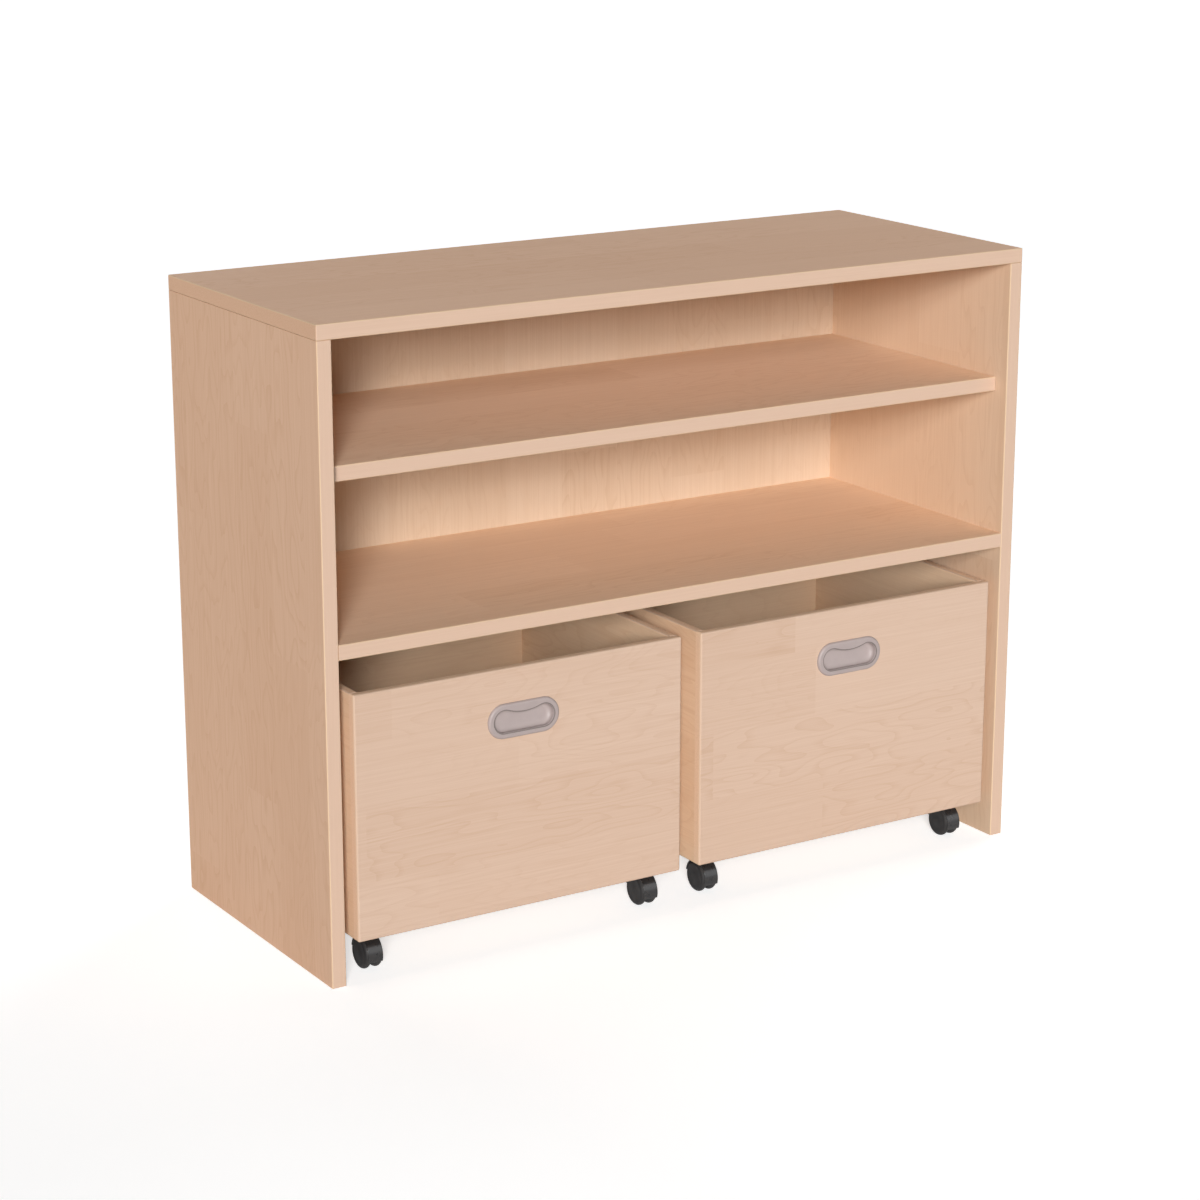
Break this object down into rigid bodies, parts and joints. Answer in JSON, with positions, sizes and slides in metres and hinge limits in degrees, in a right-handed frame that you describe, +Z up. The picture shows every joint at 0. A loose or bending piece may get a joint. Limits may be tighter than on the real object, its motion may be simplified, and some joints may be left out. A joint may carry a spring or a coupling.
{
  "type": "storage shelf with rolling carts",
  "caption": "Open wood-grain cabinet with shelves over a bay for rolling bins, each on twin-wheel swivel casters with a moulded finger pull.",
  "frame": {"origin": "bottom centre of the whole object's box, on the floor", "axes": "+X to the right along the width as seen from the front, +Y from the front to the back, +Z up"},
  "size_m": [1.024, 0.404, 0.804],
  "materials": {
    "maple_board": "light maple melamine board, fine straight grain, satin",
    "pull_plastic": "moulded grey-beige plastic, fine matt texture",
    "caster_hood": "moulded black nylon, half gloss",
    "caster_wheel": "moulded black nylon, satin tread",
    "zinc_steel": "zinc-plated steel",
    "beech_dowel": "plain turned beech"
  },
  "bodies": {
    "cabinet": {"back_panel": "maple_board", "fixed_shelf": "maple_board", "left_side_panel": "maple_board", "right_side_panel": "maple_board", "shelf_dowels": "beech_dowel", "shelf_pins": "zinc_steel", "top_dowels": "beech_dowel", "top_panel": "maple_board", "upper_shelf": "maple_board"},
    "left_cart": {"left_cart_back": "maple_board", "left_cart_bottom": "maple_board", "left_cart_dowels": "beech_dowel", "left_cart_front": "maple_board", "left_cart_left_side": "maple_board", "left_cart_pull": "pull_plastic", "left_cart_right_side": "maple_board", "left_cart_caster_plates": "zinc_steel", "left_cart_caster_screws": "zinc_steel"},
    "left_cart_front_left_caster": {"left_cart_front_left_caster_hood": "caster_hood", "left_cart_front_left_caster_axle": "zinc_steel"},
    "left_cart_front_left_caster_left_wheel": {"left_cart_front_left_caster_left_wheel": "caster_wheel"},
    "left_cart_front_left_caster_right_wheel": {"left_cart_front_left_caster_right_wheel": "caster_wheel"},
    "left_cart_front_right_caster": {"left_cart_front_right_caster_hood": "caster_hood", "left_cart_front_right_caster_axle": "zinc_steel"},
    "left_cart_front_right_caster_left_wheel": {"left_cart_front_right_caster_left_wheel": "caster_wheel"},
    "left_cart_front_right_caster_right_wheel": {"left_cart_front_right_caster_right_wheel": "caster_wheel"},
    "left_cart_rear_left_caster": {"left_cart_rear_left_caster_hood": "caster_hood", "left_cart_rear_left_caster_axle": "zinc_steel"},
    "left_cart_rear_left_caster_left_wheel": {"left_cart_rear_left_caster_left_wheel": "caster_wheel"},
    "left_cart_rear_left_caster_right_wheel": {"left_cart_rear_left_caster_right_wheel": "caster_wheel"},
    "left_cart_rear_right_caster": {"left_cart_rear_right_caster_hood": "caster_hood", "left_cart_rear_right_caster_axle": "zinc_steel"},
    "left_cart_rear_right_caster_left_wheel": {"left_cart_rear_right_caster_left_wheel": "caster_wheel"},
    "left_cart_rear_right_caster_right_wheel": {"left_cart_rear_right_caster_right_wheel": "caster_wheel"},
    "right_cart": {"right_cart_back": "maple_board", "right_cart_bottom": "maple_board", "right_cart_dowels": "beech_dowel", "right_cart_front": "maple_board", "right_cart_left_side": "maple_board", "right_cart_pull": "pull_plastic", "right_cart_right_side": "maple_board", "right_cart_caster_plates": "zinc_steel", "right_cart_caster_screws": "zinc_steel"},
    "right_cart_front_left_caster": {"right_cart_front_left_caster_hood": "caster_hood", "right_cart_front_left_caster_axle": "zinc_steel"},
    "right_cart_front_left_caster_left_wheel": {"right_cart_front_left_caster_left_wheel": "caster_wheel"},
    "right_cart_front_left_caster_right_wheel": {"right_cart_front_left_caster_right_wheel": "caster_wheel"},
    "right_cart_front_right_caster": {"right_cart_front_right_caster_hood": "caster_hood", "right_cart_front_right_caster_axle": "zinc_steel"},
    "right_cart_front_right_caster_left_wheel": {"right_cart_front_right_caster_left_wheel": "caster_wheel"},
    "right_cart_front_right_caster_right_wheel": {"right_cart_front_right_caster_right_wheel": "caster_wheel"},
    "right_cart_rear_left_caster": {"right_cart_rear_left_caster_hood": "caster_hood", "right_cart_rear_left_caster_axle": "zinc_steel"},
    "right_cart_rear_left_caster_left_wheel": {"right_cart_rear_left_caster_left_wheel": "caster_wheel"},
    "right_cart_rear_left_caster_right_wheel": {"right_cart_rear_left_caster_right_wheel": "caster_wheel"},
    "right_cart_rear_right_caster": {"right_cart_rear_right_caster_hood": "caster_hood", "right_cart_rear_right_caster_axle": "zinc_steel"},
    "right_cart_rear_right_caster_left_wheel": {"right_cart_rear_right_caster_left_wheel": "caster_wheel"},
    "right_cart_rear_right_caster_right_wheel": {"right_cart_rear_right_caster_right_wheel": "caster_wheel"}
  },
  "joints": [
    {"name": "left_cart_roll", "type": "slide", "parent": "cabinet", "child": "left_cart", "axis": [0, -1, 0], "range_m": [0, 0.5]},
    {"name": "left_cart_front_left_caster_swivel", "type": "hinge", "parent": "left_cart", "child": "left_cart_front_left_caster", "pos_m": [-0.4435, -0.1425, 0.044], "axis": [0, 0, 1], "continuous": true},
    {"name": "left_cart_front_left_caster_left_wheel_spin", "type": "hinge", "parent": "left_cart_front_left_caster", "child": "left_cart_front_left_caster_left_wheel", "pos_m": [-0.451, -0.1575, 0.02], "axis": [1, 0, 0], "continuous": true},
    {"name": "left_cart_front_left_caster_right_wheel_spin", "type": "hinge", "parent": "left_cart_front_left_caster", "child": "left_cart_front_left_caster_right_wheel", "pos_m": [-0.436, -0.1575, 0.02], "axis": [1, 0, 0], "continuous": true},
    {"name": "left_cart_front_right_caster_swivel", "type": "hinge", "parent": "left_cart", "child": "left_cart_front_right_caster", "pos_m": [-0.0465, -0.1425, 0.044], "axis": [0, 0, 1], "continuous": true},
    {"name": "left_cart_front_right_caster_left_wheel_spin", "type": "hinge", "parent": "left_cart_front_right_caster", "child": "left_cart_front_right_caster_left_wheel", "pos_m": [-0.054, -0.1575, 0.02], "axis": [1, 0, 0], "continuous": true},
    {"name": "left_cart_front_right_caster_right_wheel_spin", "type": "hinge", "parent": "left_cart_front_right_caster", "child": "left_cart_front_right_caster_right_wheel", "pos_m": [-0.039, -0.1575, 0.02], "axis": [1, 0, 0], "continuous": true},
    {"name": "left_cart_rear_left_caster_swivel", "type": "hinge", "parent": "left_cart", "child": "left_cart_rear_left_caster", "pos_m": [-0.4435, 0.13, 0.044], "axis": [0, 0, 1], "continuous": true},
    {"name": "left_cart_rear_left_caster_left_wheel_spin", "type": "hinge", "parent": "left_cart_rear_left_caster", "child": "left_cart_rear_left_caster_left_wheel", "pos_m": [-0.451, 0.115, 0.02], "axis": [1, 0, 0], "continuous": true},
    {"name": "left_cart_rear_left_caster_right_wheel_spin", "type": "hinge", "parent": "left_cart_rear_left_caster", "child": "left_cart_rear_left_caster_right_wheel", "pos_m": [-0.436, 0.115, 0.02], "axis": [1, 0, 0], "continuous": true},
    {"name": "left_cart_rear_right_caster_swivel", "type": "hinge", "parent": "left_cart", "child": "left_cart_rear_right_caster", "pos_m": [-0.0465, 0.13, 0.044], "axis": [0, 0, 1], "continuous": true},
    {"name": "left_cart_rear_right_caster_left_wheel_spin", "type": "hinge", "parent": "left_cart_rear_right_caster", "child": "left_cart_rear_right_caster_left_wheel", "pos_m": [-0.054, 0.115, 0.02], "axis": [1, 0, 0], "continuous": true},
    {"name": "left_cart_rear_right_caster_right_wheel_spin", "type": "hinge", "parent": "left_cart_rear_right_caster", "child": "left_cart_rear_right_caster_right_wheel", "pos_m": [-0.039, 0.115, 0.02], "axis": [1, 0, 0], "continuous": true},
    {"name": "right_cart_roll", "type": "slide", "parent": "cabinet", "child": "right_cart", "axis": [0, -1, 0], "range_m": [0, 0.5]},
    {"name": "right_cart_front_left_caster_swivel", "type": "hinge", "parent": "right_cart", "child": "right_cart_front_left_caster", "pos_m": [0.0465, -0.1425, 0.044], "axis": [0, 0, 1], "continuous": true},
    {"name": "right_cart_front_left_caster_left_wheel_spin", "type": "hinge", "parent": "right_cart_front_left_caster", "child": "right_cart_front_left_caster_left_wheel", "pos_m": [0.039, -0.1575, 0.02], "axis": [1, 0, 0], "continuous": true},
    {"name": "right_cart_front_left_caster_right_wheel_spin", "type": "hinge", "parent": "right_cart_front_left_caster", "child": "right_cart_front_left_caster_right_wheel", "pos_m": [0.054, -0.1575, 0.02], "axis": [1, 0, 0], "continuous": true},
    {"name": "right_cart_front_right_caster_swivel", "type": "hinge", "parent": "right_cart", "child": "right_cart_front_right_caster", "pos_m": [0.4435, -0.1425, 0.044], "axis": [0, 0, 1], "continuous": true},
    {"name": "right_cart_front_right_caster_left_wheel_spin", "type": "hinge", "parent": "right_cart_front_right_caster", "child": "right_cart_front_right_caster_left_wheel", "pos_m": [0.436, -0.1575, 0.02], "axis": [1, 0, 0], "continuous": true},
    {"name": "right_cart_front_right_caster_right_wheel_spin", "type": "hinge", "parent": "right_cart_front_right_caster", "child": "right_cart_front_right_caster_right_wheel", "pos_m": [0.451, -0.1575, 0.02], "axis": [1, 0, 0], "continuous": true},
    {"name": "right_cart_rear_left_caster_swivel", "type": "hinge", "parent": "right_cart", "child": "right_cart_rear_left_caster", "pos_m": [0.0465, 0.13, 0.044], "axis": [0, 0, 1], "continuous": true},
    {"name": "right_cart_rear_left_caster_left_wheel_spin", "type": "hinge", "parent": "right_cart_rear_left_caster", "child": "right_cart_rear_left_caster_left_wheel", "pos_m": [0.039, 0.115, 0.02], "axis": [1, 0, 0], "continuous": true},
    {"name": "right_cart_rear_left_caster_right_wheel_spin", "type": "hinge", "parent": "right_cart_rear_left_caster", "child": "right_cart_rear_left_caster_right_wheel", "pos_m": [0.054, 0.115, 0.02], "axis": [1, 0, 0], "continuous": true},
    {"name": "right_cart_rear_right_caster_swivel", "type": "hinge", "parent": "right_cart", "child": "right_cart_rear_right_caster", "pos_m": [0.4435, 0.13, 0.044], "axis": [0, 0, 1], "continuous": true},
    {"name": "right_cart_rear_right_caster_left_wheel_spin", "type": "hinge", "parent": "right_cart_rear_right_caster", "child": "right_cart_rear_right_caster_left_wheel", "pos_m": [0.436, 0.115, 0.02], "axis": [1, 0, 0], "continuous": true},
    {"name": "right_cart_rear_right_caster_right_wheel_spin", "type": "hinge", "parent": "right_cart_rear_right_caster", "child": "right_cart_rear_right_caster_right_wheel", "pos_m": [0.451, 0.115, 0.02], "axis": [1, 0, 0], "continuous": true}
  ]
}
